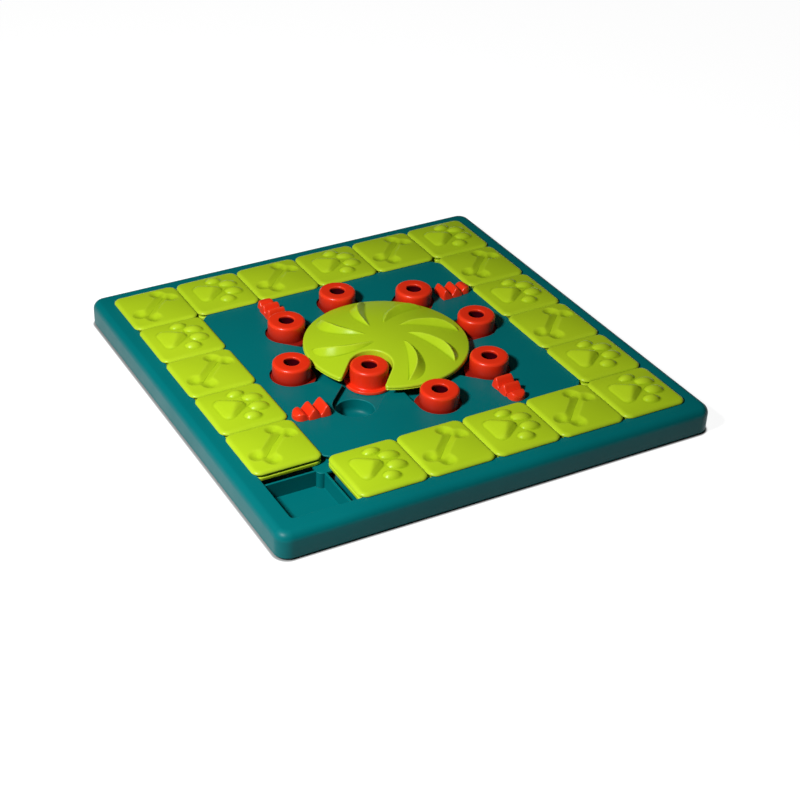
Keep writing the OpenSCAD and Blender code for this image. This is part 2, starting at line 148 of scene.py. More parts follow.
def strips(rows, columns):
    """Vertex numbers of the four-sided faces between neighbouring rings whose columns wrap round."""
    first = np.arange(rows - 1)[:, None] * columns
    here, after = first + np.arange(columns), first + (np.arange(columns) + 1) % columns
    return np.stack([here, here + columns, after + columns, after], -1).reshape(-1, 4)


def outward(points, quads, tris):
    """A closed skin whose faces point outwards: they are turned over if the volume they enclose is negative."""
    corners = points[np.concatenate([quads[:, :3], quads[:, [0, 2, 3]], tris])]
    volume = np.einsum("ij,ij->i", corners[:, 0], np.cross(corners[:, 1], corners[:, 2])).sum()
    return (points, quads, tris) if volume > 0 else (points, quads[:, ::-1], tris[:, ::-1])


def capped(rings):
    """A closed skin over rings, with the middles of the first and last ring as its two poles."""
    rows, columns = rings.shape[:2]
    points = np.concatenate([rings.reshape(-1, 3), rings[0].mean(0)[None], rings[-1].mean(0)[None]])
    here = np.arange(columns)
    after, last = (here + 1) % columns, (rows - 1) * columns
    top = np.stack([np.full(columns, rows * columns), here, after], -1)
    foot = np.stack([np.full(columns, rows * columns + 1), last + after, last + here], -1)
    return outward(points, strips(rows, columns), np.concatenate([top, foot]))


def looped(rings):
    """A closed skin over rings of which the last meets the first again, as round a picture frame."""
    rows, columns = rings.shape[:2]
    quads = strips(rows + 1, columns) % (rows * columns)
    return outward(rings.reshape(-1, 3), quads, np.zeros((0, 3), int))


def moved(skin, x=0.0, y=0.0, z=0.0, turn=0.0):
    """The skin turned about the upright axis, in degrees, and then moved."""
    c, s = math.cos(math.radians(turn)), math.sin(math.radians(turn))
    spin = np.array([[c, s, 0], [-s, c, 0], [0, 0, 1]])
    return (skin[0] @ spin + (x, y, z),) + skin[1:]


def joined(skins):
    """Several skins as one."""
    starts = np.cumsum([0] + [len(skin[0]) for skin in skins[:-1]])
    return (np.concatenate([skin[0] for skin in skins]),
            np.concatenate([skin[1] + start for skin, start in zip(skins, starts)]),
            np.concatenate([skin[2] + start for skin, start in zip(skins, starts)]))


# ---------------------------------------------------------------- meshes

def mark_field(mesh, label, values):
    """Stores one number for each vertex under a label."""
    field = mesh.attributes.new(label, "FLOAT", "POINT")
    field.data.foreach_set("value", np.asarray(values, np.float32))


def mark_bends(mesh):
    """Stores how sharply the surface bends at each vertex, as the attribute bend.

    Along an edge the bend is (change of normal . edge) / edge length squared, in 1/m: positive on outer edges and
    negative in hollows. Each vertex takes the mean of its edges, which is then spread to its neighbours once. At the
    corners of faces above FLAT_AREA it is 0, so that a wide flat face stays free of it."""
    count = len(mesh.vertices)
    place = np.zeros(count * 3)
    normal = np.zeros(count * 3)
    ends = np.zeros(len(mesh.edges) * 2, int)
    mesh.vertices.foreach_get("co", place)
    mesh.vertex_normals.foreach_get("vector", normal)
    mesh.edges.foreach_get("vertices", ends)
    place, normal = place.reshape(-1, 3), normal.reshape(-1, 3)
    a, b = ends.reshape(-1, 2).T
    along = place[b] - place[a]
    bend = np.einsum("ij,ij->i", normal[b] - normal[a], along) / np.maximum((along ** 2).sum(1), 1e-9)
    met = np.maximum(np.bincount(a, minlength=count) + np.bincount(b, minlength=count), 1)
    here = (np.bincount(a, bend, count) + np.bincount(b, bend, count)) / met
    spread = (np.bincount(a, here[b], count) + np.bincount(b, here[a], count)) / met
    area = np.zeros(len(mesh.polygons))
    corners = np.zeros(len(mesh.polygons), int)
    corner = np.zeros(len(mesh.loops), int)
    mesh.polygons.foreach_get("area", area)
    mesh.polygons.foreach_get("loop_total", corners)
    mesh.loops.foreach_get("vertex_index", corner)
    widest = np.zeros(count)
    np.maximum.at(widest, corner, np.repeat(area, corners))
    mark_field(mesh, "bend", (0.5 * here + 0.5 * spread) * (widest < FLAT_AREA))


def add_piece(name, skin, material, body, nodes=(), sharp=40.0):
    """Makes a skin in millimetres a smooth-shaded object in metres that rides on a body and stands for its nodes."""
    points, quads, tris = skin
    mesh = bpy.data.meshes.new(name)
    sides = np.repeat([4, 3], [len(quads), len(tris)])
    mesh.vertices.add(len(points))
    mesh.loops.add(int(sides.sum()))
    mesh.polygons.add(len(sides))
    mesh.vertices.foreach_set("co", (points * MM).astype(np.float32).ravel())
    mesh.polygons.foreach_set("loop_start", (np.cumsum(sides) - sides).astype(np.int32))
    mesh.loops.foreach_set("vertex_index", np.concatenate([quads.ravel(), tris.ravel()]).astype(np.int32))
    mesh.update(calc_edges=True)
    mesh.validate()
    mesh.shade_smooth()
    mesh.set_sharp_from_angle(angle=math.radians(sharp))
    mark_bends(mesh)
    mesh.materials.append(material)
    piece = bpy.data.objects.new(name, mesh)
    bpy.context.scene.collection.objects.link(piece)
    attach(piece, body)
    if nodes:
        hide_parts(*nodes)
    return piece


# ---------------------------------------------------------------- signed distances, in millimetres, negative inside

def circle_distance(x, y, middle, radius):
    """Distance from the middle, less the radius."""
    return np.hypot(x - middle[0], y - middle[1]) - radius


def bar_distance(x, y, start, end, radius):
    """Distance from the line between two points, less the radius."""
    way = np.subtract(end, start)
    share = np.clip(((x - start[0]) * way[0] + (y - start[1]) * way[1]) / (way @ way), 0, 1)
    return np.hypot(x - start[0] - share * way[0], y - start[1] - share * way[1]) - radius


def blended(distances, soft):
    """The nearest of several distances, with a soft fillet where two of them are equal (a sum of exponentials)."""
    return -soft * np.log(sum(np.exp(-distance / soft) for distance in distances))


def swell(distance, width):
    """0 outside and 1 deeper inside than the width: 1 - (1 - t)^2 of the depth t counted in widths."""
    depth = np.clip(-distance / width, 0, 1)
    return 1 - (1 - depth) ** 2


def smooth_line(at, value, fine):
    """Values between stations on cubic pieces that share a slope at each station.

    The slope is the harmonic mean of the rise on its two sides where both have one sign, and 0 elsewhere."""
    rise = np.diff(value) / np.diff(at)
    slope = np.concatenate([rise[:1], np.where(rise[:-1] * rise[1:] > 0, 2 * rise[:-1] * rise[1:]
                                               / (rise[:-1] + rise[1:] + 1e-12), 0), rise[-1:]])
    cell = np.clip(np.searchsorted(at, fine, "right") - 1, 0, len(at) - 2)
    wide = np.diff(at)[cell]
    t = (fine - at[cell]) / wide
    return ((2 * t ** 3 - 3 * t ** 2 + 1) * value[cell] + (t ** 3 - 2 * t ** 2 + t) * wide * slope[cell]
            + (3 * t ** 2 - 2 * t ** 3) * value[cell + 1] + (t ** 3 - t ** 2) * wide * slope[cell + 1])


# ---------------------------------------------------------------- tiles

TILE_ROLL_W = 3.6
TILE_ROLL_H = 2.2
TILE_EDGE_Z = 26.8
TILE_CROWN = 2.3
PAW_TOES = [((3.2, 17.8), 7.6, 5.3, 2), ((13.7, 7.2), 9.0, 5.9, -8), ((13.6, -6.8), 8.8, 5.9, -4),
            ((3.2, -17.6), 7.5, 5.3, -12)]
TOE_HEIGHT = 3.4
PAD_CORNERS = np.array([(-2.4, 0.2), (-14.0, 8.2), (-13.8, -8.0)])
PAD_R = 6.8
PAD_SLOPES = (0.56, 0.27, 0.6)
PAD_SOFT = 0.75
BONE_DEPTH = 2.9


def tile_crown(x, y):
    """Height of a tile's top before its roll: edge height + crown * (1 - (x/h)^2) * (1 - (y/h)^2)."""
    return TILE_EDGE_Z + TILE_CROWN * (1 - (x / TILE_HALF) ** 2) * (1 - (y / TILE_HALF) ** 2)


def toe_height(x, y):
    """Four oval toes: each is height * (1 - u^2 - v^2)^0.75, with u and v counted in its half lengths."""
    height = np.zeros_like(x)
    for middle, long, short, lean in PAW_TOES:
        c, s = math.cos(math.radians(lean)), math.sin(math.radians(lean))
        u = ((x - middle[0]) * c + (y - middle[1]) * s) / long
        v = ((y - middle[1]) * c - (x - middle[0]) * s) / short
        height = np.maximum(height, TOE_HEIGHT * np.clip(1 - u * u - v * v, 0, None) ** 0.75)
    return height


def pad_height(x, y):
    """The pad: a triangle with round corners and a steep foot, swollen into a cushion.

    Three planes rise from its sides, each by its slope times the depth inside that side, and meet softly."""
    sides, bars = [], []
    for first, second in zip(PAD_CORNERS, np.roll(PAD_CORNERS, -1, 0)):
        way = (second - first) / np.hypot(*(second - first))
        sides.append((x - first[0]) * way[1] - (y - first[1]) * way[0])
        bars.append(bar_distance(x, y, first, second, PAD_R))
    outside = np.min(bars, 0)
    inside = np.max(sides, 0)
    distance = np.where(inside < 0, inside - PAD_R, outside)
    planes = [slope * (PAD_R - side) for slope, side in zip(PAD_SLOPES, sides)]
    return swell(distance, 1.6) * 0.7 + swell(distance, 4.2) * np.clip(blended(planes, PAD_SOFT), 0, None)


def paw_relief(x, y):
    """Height of a raised paw print: the higher of its toes and its pad."""
    return np.maximum(toe_height(x, y), pad_height(x, y))


def bone_relief(x, y):
    """Height of a sunk bone, lying across the tile from corner to corner: four discs and a bar, blended.

    Its sides fall almost evenly from the rim to a soft bottom line: 1.5 t - 0.5 t^2 of the depth t inside it."""
    along, across = (x + y) / math.sqrt(2), (y - x) / math.sqrt(2)
    ends = [circle_distance(along, across, (sx * 19.4, sy * 6.9), 7.2) for sx in (-1, 1) for sy in (-1, 1)]
    bone = blended(ends + [bar_distance(along, across, (-17.0, 0.0), (17.0, 0.0), 5.9)], 1.4)
    depth = np.clip(-bone / 7.4, 0, 1)
    depth = np.clip(np.hypot(depth + 0.03, 0.06) - 0.067, 0, None)
    return -BONE_DEPTH * (1.5 * depth - 0.5 * depth ** 2)


def tile_cap(relief):
    """A tile's cap: rings from the middle of its top out over the rolled edge, down its side and in to its neck.

    The roll is a quarter of an ellipse: at a share t of its width it drops by height * (1 - sqrt(1 - t^2))."""
    template = square_template(34, 12)
    inner, inner_corner = TILE_HALF - TILE_ROLL_W, TILE_CORNER - TILE_ROLL_W
    shares = np.linspace(0, 1, 46)[1:]
    turn = np.radians(np.linspace(0, 90, 9)[1:])
    profile = [(inner * share, inner_corner * share, 0) for share in shares]
    profile += [(inner + TILE_ROLL_W * math.sin(a), inner_corner + TILE_ROLL_W * math.sin(a),
                 -TILE_ROLL_H * (1 - math.cos(a))) for a in turn]
    rings = square_rings(template, profile)
    rings[..., 2] += tile_crown(rings[..., 0], rings[..., 1])
    rings[:len(shares), :, 2] += relief(rings[:len(shares), :, 0], rings[:len(shares), :, 1])
    bevel = 0.3
    under = square_rings(template, [(TILE_HALF, TILE_CORNER, CAP_Z + bevel),
                                    (TILE_HALF - bevel, TILE_CORNER - bevel, CAP_Z),
                                    (NECK_HALF, NECK_CORNER, CAP_Z), (NECK_HALF, NECK_CORNER, NECK_Z),
                                    (NECK_HALF / 2, NECK_CORNER / 2, NECK_Z)])
    return capped(np.concatenate([rings, under]))


def tile_base():
    """A tile's base: a plate with small rolls round its top and foot."""
    template = square_template(6, 8)
    roll = 0.7
    top = arc((TILE_HALF - roll, NECK_Z - roll), roll, 90, 0, 4)
    foot = arc((TILE_HALF - roll, BASE_Z + roll), roll, 0, -90, 4)
    edge = np.concatenate([top, foot])
    profile = [(half, TILE_CORNER - TILE_HALF + half, height) for half, height in edge]
    above = (TILE_HALF / 2, TILE_CORNER / 2, NECK_Z)
    below = (TILE_HALF / 2, TILE_CORNER / 2, BASE_Z)
    return capped(square_rings(template, [above] + profile + [below]))


# ---------------------------------------------------------------- knobs and wheel

# The painted shade in a knob's hole starts below its rim and is full further down; that on its foot, in the
# slot's shade, ends above the deck
HOLE_SHADE_FROM = 0.6
HOLE_SHADE_OVER = 1.9
FOOT_SHADE_Z = 23.0
FOOT_SHADE_OVER = 0.9
FOOT_SHADE = 0.7


def knob():
    """A knob turned round its axis: foot disc, upright side that flares a little at its foot, rolled top edge and a
    blind round hole.
    """
    edge_r, rim_r, foot_r = 2.6, 0.9, 0.6
    shoulder_z = SLIDER_FOOT_Z - foot_r
    profile = [(0.5, BASE_Z), (KNOB_FOOT_R - 0.5, BASE_Z), (KNOB_FOOT_R, BASE_Z + 0.5), (KNOB_FOOT_R, shoulder_z)]
    profile += list(map(tuple, arc((KNOB_FOOT_R - foot_r, shoulder_z), foot_r, 0, 90, 3)[1:]))
    profile += [(KNOB_R + 0.3, SLIDER_FOOT_Z), (KNOB_R, DECK_Z)]
    profile += list(map(tuple, arc((KNOB_R - edge_r, KNOB_TOP_Z - edge_r), edge_r, 0, 90, 10)))
    profile += list(map(tuple, arc((KNOB_HOLE_R + rim_r, KNOB_TOP_Z - rim_r), rim_r, 90, 180, 5)))
    profile += [(KNOB_HOLE_R - 0.05, KNOB_TOP_Z - 2.5), (KNOB_HOLE_R - 0.25, KNOB_HOLE_Z + 1),
                (KNOB_HOLE_R - 1.2, KNOB_HOLE_Z), (0.5, KNOB_HOLE_Z)]
    return capped(turned_rings(profile, 96))


def hole_shade_share(points, middle, foot):
    """How much painted shade a point of a knob takes in its hole, where shade falls: 0 at its rim and 1 from 2.5 mm
    down.

    The outer side near the deck, where the foot lies in the slot's shade, takes the share foot of painted shade,
    which fades out upwards."""
    away = np.hypot(points[:, 0] - middle[0], points[:, 1] - middle[1])
    height = points[:, 2]
    deep = np.clip((KNOB_TOP_Z - HOLE_SHADE_FROM - height) / HOLE_SHADE_OVER, 0, 1)
    low = np.clip((FOOT_SHADE_Z - height) / FOOT_SHADE_OVER, 0, 1)
    return np.maximum((away < KNOB_HOLE_R + 0.05) * deep, foot * (away > KNOB_R - 0.05) * low)


def dome_height(x, y):
    """Height of the wheel's smooth top: a ball of radius DOME_R whose middle is on the axis at DOME_Z."""
    return DOME_Z + np.sqrt(DOME_R ** 2 - x * x - y * y)


VANE_START = np.array([16.5, 7.0])
VANE_END = np.array([64.5, -10.5])
VANE_STATIONS = [(0, 0.4, 0.6, 0.8, 0.0), (5, 0.6, 2.8, 4.6, 1.7), (12, 0.9, 5.2, 8.8, 3.4),
                 (20, 0.8, 7.0, 12.0, 4.3), (28, 0.3, 7.6, 13.6, 5.1), (34, -0.4, 7.1, 13.9, 5.7),
                 (41, -1.4, 5.3, 12.6, 5.5), (47, -2.2, 2.3, 9.6, 4.2), (51, -3.0, -0.6, 5.6, 2.6),
                 (53.6, -3.6, -3.0, 0.4, 0.0)]
VANE_POWER = 1.1
VANE_ROUND = 0.05


def vane_height(x, y):
    """Height of the seven vanes over the dome.

    A vane follows the line from its start to its end. Its stations give, at a distance along the line, how far to
    the side its hollow side, its ridge and its round side lie, and how tall the ridge is. Across the vane the
    height rises from each side as the power VANE_POWER of the way to the ridge, which a hyperbola rounds."""
    way = (VANE_END - VANE_START) / np.hypot(*(VANE_END - VANE_START))
    at, hollow_at, ridge_at, round_at, tall_at = np.array(VANE_STATIONS, float).T
    height = np.zeros_like(x)
    for number in range(1, 8):
        turn = math.radians(45 * number)
        u = x * math.cos(turn) + y * math.sin(turn) - VANE_START[0]
        v = y * math.cos(turn) - x * math.sin(turn) - VANE_START[1]
        along, across = u * way[0] + v * way[1], v * way[0] - u * way[1]
        place = np.clip(along, at[0], at[-1])
        hollow, ridge, rounded, tall = (smooth_line(at, side, place)
                                        for side in (hollow_at, ridge_at, round_at, tall_at))
        share = np.minimum((across - hollow) / (ridge - hollow), (rounded - across) / (rounded - ridge))
        share = np.clip(1 - np.hypot(1 - np.clip(share, 0, 1) ** VANE_POWER, VANE_ROUND), 0, 1)
        height = np.maximum(height, tall * share * ((along > at[0]) & (along < at[-1])))
    return height


def wheel_outline(inset):
    """Two halves of the wheel's outline, both from the middle of one horn of the notch to the other's.

    The first runs round the rim and the second round the notch. Each is made of arcs and straight lines, and every
    point is moved into the wheel by the inset along its own normal."""
    horn_y = NOTCH_R + HORN_R
    horn_x = math.sqrt((WHEEL_R - HORN_R) ** 2 - horn_y ** 2)
    lean = math.degrees(math.atan2(horn_y, horn_x))
    half = (lean - 90) / 2
    horn = arc((horn_x, horn_y), HORN_R - inset, half, lean, 6)
    rim = arc((0, 0), WHEEL_R - inset, lean, 360 - lean, 408)[1:-1]
    rim = np.concatenate([horn, rim, (horn * (1, -1))[::-1]])
    horn = arc((horn_x, horn_y), HORN_R - inset, half, -90, 6)
    straight = np.stack([np.linspace(horn_x, NOTCHED_KNOB_AT, 61), np.full(61, NOTCH_R + inset)], -1)[1:-1]
    round_end = arc((NOTCHED_KNOB_AT, 0), NOTCH_R + inset, 90, 270, 288)
    notch = np.concatenate([horn, straight, round_end, (straight * (1, -1))[::-1], (horn * (1, -1))[::-1]])
    return rim, notch


def wheel_skin():
    """The wheel's domed shell with its notch and vanes, and the hub and pin under it.

    Every point of the rim is joined to the matching point of the notch, and a section of the shell follows that
    line: up the rim and its shallow groove, over its rolled edge, across the top on evenly spaced points, down
    into the notch, and back along the underside."""
    def row(inset, side, height):
        flat = wheel_outline(inset)[side]
        upright = dome_height(*flat.T) if height is None else height + 0 * flat[:, 0]
        return np.concatenate([flat, upright[:, None]], -1)

    def rolled(side):
        rows = []
        for angle in np.linspace(0, 90, 7):
            inset = RIM_ROLL * (1 - math.cos(math.radians(angle)))
            points = row(inset, side, None)
            points[:, 2] -= RIM_ROLL * (1 - math.sin(math.radians(angle)))
            rows.append(points)
        return rows

    def across(inset, steps, lift):
        rim, notch = wheel_outline(inset)
        share = np.linspace(0, 1, steps + 1)[1:-1, None, None]
        flat = rim * (1 - share) + notch * share
        x, y = flat[..., 0], flat[..., 1]
        height = dome_height(x, y) + (vane_height(x, y) if lift == 0 else lift)
        return list(np.concatenate([flat, height[..., None]], -1))

    groove = [(0.5, 0.0), (0.1, 0.2), (0.0, 0.6), (0.35, 1.0), (0.35, 1.5), (0.0, 1.9)]
    rows = [row(inset, 0, RIM_Z + rise) for inset, rise in groove] + rolled(0)
    rows += across(RIM_ROLL, 160, 0)
    rows += rolled(1)[::-1] + [row(0.0, 1, RIM_Z + 0.5), row(0.5, 1, RIM_Z), row(SHELL - 0.3, 1, RIM_Z)]
    inner = [row(SHELL, 1, RIM_Z + 0.3), row(SHELL, 1, None)]
    inner[1][:, 2] -= SHELL
    outer = [row(SHELL, 0, None), row(SHELL, 0, RIM_Z + 0.3), row(SHELL - 0.3, 0, RIM_Z)]
    outer[0][:, 2] -= SHELL
    rows += inner + across(SHELL, 16, -SHELL)[::-1] + outer
    rings = np.stack(rows, 1)
    shell = welded(rings.reshape(-1, 3), strips(*rings.shape[:2]))
    bevel, axis = 0.4, 0.2
    hub = [(axis, PIN_BORE_Z), (PIN_BORE_R, PIN_BORE_Z), (PIN_BORE_R, PIN_FOOT_Z), (PIN_R - 0.3, PIN_FOOT_Z),
           (PIN_R, PIN_FOOT_Z + bevel), (PIN_R, RIM_Z + 0.3), (POST_ROOM_R, RIM_Z + 0.3),
           (POST_ROOM_R, BASE_Z + bevel), (POST_ROOM_R + bevel, BASE_Z), (HUB_R - bevel, BASE_Z),
           (HUB_R, BASE_Z + bevel), (HUB_R, HUB_TOP_Z), (axis, HUB_TOP_Z)]
    return joined([moved(shell, turn=225.0), looped(turned_rings(hub, 64))])


def welded(points, quads):
    """Points that lie in one place become one, and the faces that this leaves with fewer than three corners go."""
    _, first, same = np.unique(np.round(points, 4), axis=0, return_index=True, return_inverse=True)
    quads = same.reshape(-1)[quads]
    after = np.roll(quads, -1, 1)
    differs = quads != after
    full = quads[differs.all(1)]
    three = quads[differs.sum(1) == 3]
    keep = differs[differs.sum(1) == 3]
    return outward(points[first], full, three[keep].reshape(-1, 3))


# ---------------------------------------------------------------- latches

LATCH_STATIONS = [(0.0, 8.7, 3.4), (0.25, 9.0, 4.4), (2.3, 9.4, 8.5), (3.1, 9.4, 9.0), (4.1, 9.4, 8.7),
                  (9.0, 9.1, 2.7), (9.6, 8.5, 2.3), (10.2, 8.7, 2.8), (13.9, 9.0, 7.9), (14.8, 9.0, 8.3),
                  (15.8, 9.0, 8.0), (20.0, 8.5, 3.4), (20.6, 7.6, 2.9), (21.2, 7.4, 3.3), (24.0, 7.6, 5.9),
                  (25.2, 7.6, 6.2), (27.2, 7.2, 6.0), (29.2, 6.0, 5.2), (30.4, 4.4, 4.3), (31.2, 2.4, 3.2),
                  (31.5, 0.9, 2.5)]
LATCH_LEAN = 0.14
LATCH_ROLL = 1.5
LATCH_CROWN = 0.3


def latch_skin():
    """A latch on the middle of the back side: sections along its length, plus its stem and foot under the deck.

    The stations give a distance from the inner end, the half width at the foot and the height. Each section has a
    straight foot, sides that lean in by a share of the height, a quarter roll and a top with a slight crown."""
    at, wide, high = np.array(LATCH_STATIONS).T
    fine = np.unique(np.concatenate([np.linspace(0, at[-1], 150), at]))
    wide, high = smooth_line(at, wide, fine)[:, None], smooth_line(at, high, fine)[:, None]
    roll = np.minimum(LATCH_ROLL, np.minimum(0.4 * high, 0.6 * wide))
    side = np.linspace(0, 1, 5)[:-1] * (high - roll)
    turn = np.radians(np.linspace(0, 90, 7))
    flat = wide - LATCH_LEAN * high - roll
    across = flat * np.linspace(1, 0, 9)[1:]
    x = np.concatenate([wide - LATCH_LEAN * side, flat + roll * np.cos(turn), across], 1)
    z = np.concatenate([side, high - roll + roll * np.sin(turn), high + 0 * across], 1)
    z = z + LATCH_CROWN * (z / high) * (1 - (x / wide) ** 2)
    x, z = np.concatenate([x, -x[:, -2::-1]], 1), np.concatenate([z, z[:, -2::-1]], 1)
    rings = np.stack([x, np.broadcast_to(LATCH_INNER + fine[:, None], x.shape), CAP_Z + z], -1)
    template, bevel = square_template(3, 4), 0.4
    foot = square_rings(template, [(4, 1, BASE_Z), (7.6, 1, BASE_Z), (8, 1.2, BASE_Z + bevel),
                                   (8, 1.2, SLIDER_FOOT_Z - bevel), (7.6, 1, SLIDER_FOOT_Z), (4, 1, SLIDER_FOOT_Z)])
    stem = square_rings(template, [(2.4, 0.5, 20.8), (4.98, 0.6, 20.8), (4.98, 0.6, 25.0),
                                   (2.4, 0.5, 25.0)]) * (0.6, 1, 1)
    return joined([capped(rings), moved(capped(foot), y=STEM_MIDDLE), moved(capped(stem), y=STEM_MIDDLE)])


# ---------------------------------------------------------------- board

def frame_corner(half):
    """Corner radius of the frame's outline at a half width: parallel to the skirt at first, then closing in."""
    roll_at = BOARD_HALF - BOARD_ROLL
    inward = (BOARD_CORNER - BOARD_ROLL - LIP_CORNER) / (roll_at - LIP_OUT)
    return np.where(half > roll_at, BOARD_CORNER - BOARD_HALF + half, LIP_CORNER + (half - LIP_OUT) * inward)


def frame_skin():
    """The frame: one closed section carried round the square, with a screw boss under it at eight places."""
    foot_at, roll_at, wall = BOARD_HALF - SKIRT_ROLL, BOARD_HALF - BOARD_ROLL, CHANNEL_OUT + CHANNEL_WALL
    section = list(map(tuple, arc((foot_at, SKIRT_Z + SKIRT_ROLL), SKIRT_ROLL, -90, 0, 6)))
    section += list(map(tuple, arc((roll_at, TOP_Z - BOARD_ROLL), BOARD_ROLL, 0, 90, 16)))
    section += [(LIP_OUT + 1.2, TOP_Z), (LIP_OUT + 0.6, TOP_Z)]
    section += list(map(tuple, arc((LIP_OUT + 0.5, TOP_Z - 0.5), 0.5, 90, 180, 4)))
    section += [(LIP_OUT, LIP_Z + 0.2), (LIP_OUT + 0.2, LIP_Z), (CHANNEL_OUT, LIP_Z), (CHANNEL_OUT, TRACK_Z),
                (wall, TRACK_Z), (wall, DECK_Z)]
    inner_roll = BOARD_ROLL - SKIRT
    section += list(map(tuple, arc((roll_at, DECK_Z - inner_roll), inner_roll, 90, 0, 6)))
    section += [(BOARD_HALF - SKIRT, SKIRT_Z + 0.3), (BOARD_HALF - SKIRT + 0.3, SKIRT_Z)]
    half, height = np.array(section).T
    ring = looped(square_rings(square_template(16, 16), np.stack([half, frame_corner(half), height], -1)))
    boss = looped(turned_rings([(BOSS_R, TRACK_Z), (BOSS_R, BOSS_TOP_Z), (BOSS_BORE_R, BOSS_TOP_Z),
                                (BOSS_BORE_R, TRACK_Z)], 32))
    return joined([ring] + [moved(boss, *(np.array([[c, -s], [s, c]]) @ (BOSS_AT, side * BOSS_SIDE)))
                            for c, s in ((1, 0), (0, 1), (-1, 0), (0, -1)) for side in (-1, 1)])


def feet_skin():
    """The rubber feet: low discs with a rolled lower edge and a shallow dish in the middle."""
    roll, bevel = 0.8, 0.2
    profile = [(0.5, FOOT_TOP_Z), (FOOT_R - bevel, FOOT_TOP_Z), (FOOT_R, FOOT_TOP_Z - bevel)]
    profile += list(map(tuple, arc((FOOT_R - roll, roll), roll, 0, -90, 4)))
    profile += [(8.2, 0.0), (7.6, 0.15), (7.2, 0.5), (0.5, 0.6)]
    foot = capped(turned_rings(profile, 48))
    m, half = RING_MIDDLE, PITCH / 2
    spots = [(m, m), (-m, m), (-m, -m), (m, -m), (m, half), (-half, m), (-m, -half), (half, -m)]
    return joined([moved(foot, *spot) for spot in spots])


def bevelled(node, width, steps=3):
    """A copy of a solid whose edges sharper than 40 degrees are rounded by a narrow roll."""
    work = bmesh.new()
    work.from_mesh(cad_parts[node].data)
    bmesh.ops.remove_doubles(work, verts=work.verts, dist=1e-6)
    sharp = [edge for edge in work.edges if edge.calc_face_angle(0) > math.radians(40)]
    bmesh.ops.bevel(work, geom=sharp, offset=width * MM, offset_type="OFFSET", segments=steps, profile=0.5,
                    affect="EDGES", clamp_overlap=False)
    bmesh.ops.triangulate(work, faces=[face for face in work.faces if len(face.verts) > 4])
    mesh = bpy.data.meshes.new(node)
    work.to_mesh(mesh)
    work.free()
    return mesh


def harden(mesh):
    """Gives each vertex the mean normal of its faces weighed by area, so that flats stay flat up to their rolls."""
    area = np.zeros(len(mesh.polygons))
    normal = np.zeros(len(mesh.polygons) * 3)
    mesh.polygons.foreach_get("area", area)
    mesh.polygons.foreach_get("normal", normal)
    sides = np.zeros(len(mesh.polygons), int)
    corner = np.zeros(len(mesh.loops), int)
    mesh.polygons.foreach_get("loop_total", sides)
    mesh.loops.foreach_get("vertex_index", corner)
    weight = np.repeat(normal.reshape(-1, 3) * area[:, None], sides, 0)
    total = np.stack([np.bincount(corner, weight[:, k], len(mesh.vertices)) for k in range(3)], -1)
    total /= np.maximum(np.linalg.norm(total, axis=1, keepdims=True), 1e-12)
    mesh.shade_smooth()
    mesh.normals_split_custom_set_from_vertices(total.tolist())


def add_bevelled(name, node, width, material, body):
    """Puts the rounded copy of a solid in its place."""
    mesh = bevelled(node, width)
    mesh.name = name
    harden(mesh)
    mark_bends(mesh)
    mesh.materials.clear()
    mesh.materials.append(material)
    piece = bpy.data.objects.new(name, mesh)
    bpy.context.scene.collection.objects.link(piece)
    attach(piece, body)
    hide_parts(node)
    return piece


# ---------------------------------------------------------------- materials

def new_group(name, inputs, outputs):
    """An empty shader node group with named sockets, and its two end nodes."""
    group = bpy.data.node_groups.new(name, "ShaderNodeTree")
    for label, kind, value in inputs:
        socket = group.interface.new_socket(label, in_out="INPUT", socket_type=kind)
        if value is not None:
            socket.default_value = value
    for label, kind in outputs:
        group.interface.new_socket(label, in_out="OUTPUT", socket_type=kind)
    return group, group.nodes.new("NodeGroupInput"), group.nodes.new("NodeGroupOutput")


def add_node(tree, kind, settings=(), **inputs):
    """A node with its settings, and its inputs set to values or linked to other sockets."""
    node = tree.nodes.new(kind)
    for label, value in dict(settings).items():
        setattr(node, label, value)
    for label, value in inputs.items():
        socket = node.inputs[int(label[1:])] if label[0] == "n" and label[1:].isdigit() else node.inputs[
            label.replace("_", " ")]
        if isinstance(value, bpy.types.NodeSocket):
            tree.links.new(value, socket)
        else:
            socket.default_value = value
    return node


def grain_group():
    """Moulded grain: fine pits and slow waves of a moulded face, as a height and as a share of roughness."""
    group, given, made = new_group("Moulded grain", [("Pits", "NodeSocketFloat", 900.0),
                                                     ("Waves", "NodeSocketFloat", 45.0),
                                                     ("Wave share", "NodeSocketFloat", 0.5)],
                                   [("Height", "NodeSocketFloat"), ("Roughness", "NodeSocketFloat")])
    place = group.nodes.new("ShaderNodeTexCoord").outputs["Object"]
    pits = add_node(group, "ShaderNodeTexNoise", Vector=place, Scale=given.outputs["Pits"], Detail=2.0)
    waves = add_node(group, "ShaderNodeTexNoise", Vector=place, Scale=given.outputs["Waves"], Detail=3.0)
    both = add_node(group, "ShaderNodeMix", {"data_type": "FLOAT"}, Factor=given.outputs["Wave share"],
                    n2=pits.outputs["Fac"], n3=waves.outputs["Fac"])
    group.links.new(both.outputs[0], made.inputs["Height"])
    rough = add_node(group, "ShaderNodeMapRange", Value=waves.outputs["Fac"], From_Min=0.3, From_Max=0.7,
                     To_Min=0.0, To_Max=1.0)
    group.links.new(rough.outputs["Result"], made.inputs["Roughness"])
    return group


